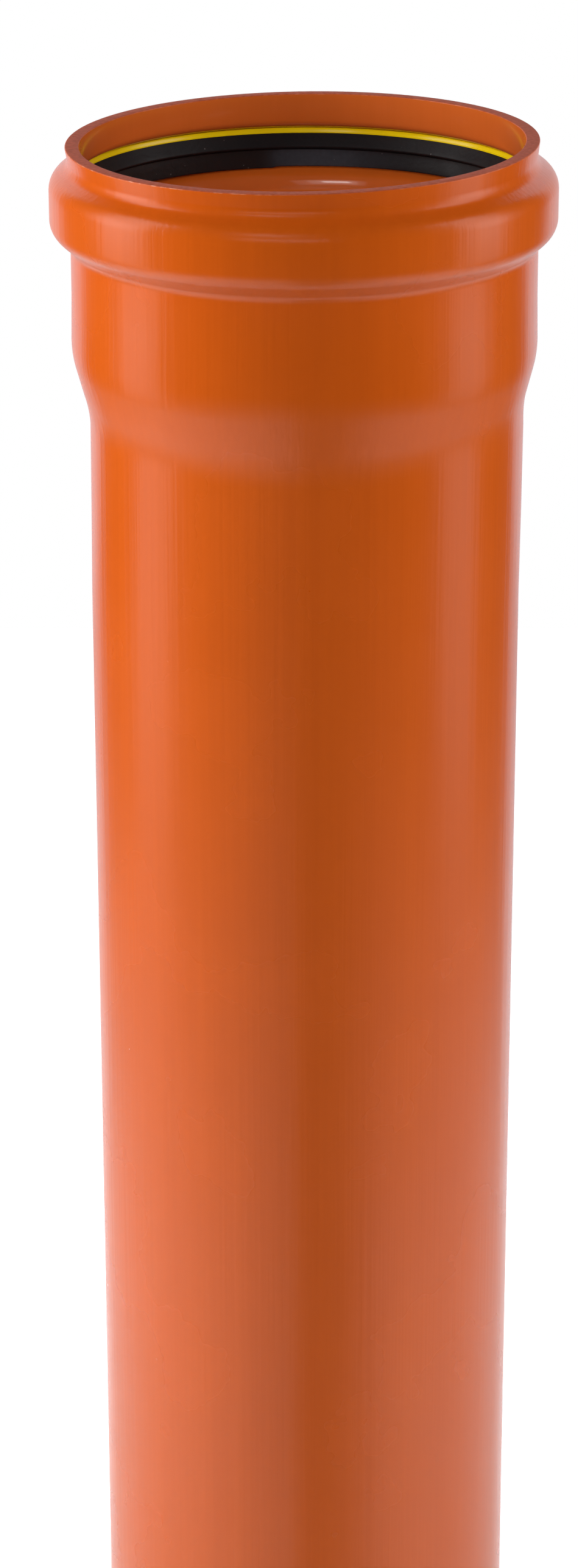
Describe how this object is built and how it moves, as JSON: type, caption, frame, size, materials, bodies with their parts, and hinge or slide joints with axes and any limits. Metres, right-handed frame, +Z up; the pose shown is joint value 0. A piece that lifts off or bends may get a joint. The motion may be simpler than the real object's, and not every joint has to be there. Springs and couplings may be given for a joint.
{
  "type": "pvc sewer pipe",
  "caption": "Length of orange-brown PVC-U sewer pipe with a formed push-fit socket at the top, a black rubber lip seal in its groove and a yellow retaining ring; plain bevelled spigot at the foot.",
  "frame": {"origin": "centre of the foot, on the pipe's axis, where the spigot end stands on the floor", "axes": "+Z up along the pipe's axis, from the spigot end to the socket's mouth; the part is round, so X and Y are alike"},
  "size_m": [0.127, 0.127, 0.5603],
  "materials": {
    "pipe_pvc": "orange-brown PVC-U with a semi-gloss extruded skin",
    "seal_rubber": "black moulded rubber, slightly dusty",
    "ring_plastic": "yellow moulded polypropylene"
  },
  "bodies": {
    "root": {"pipe": "pipe_pvc", "seal_ring": "seal_rubber", "retaining_ring": "ring_plastic"}
  },
  "joints": []
}
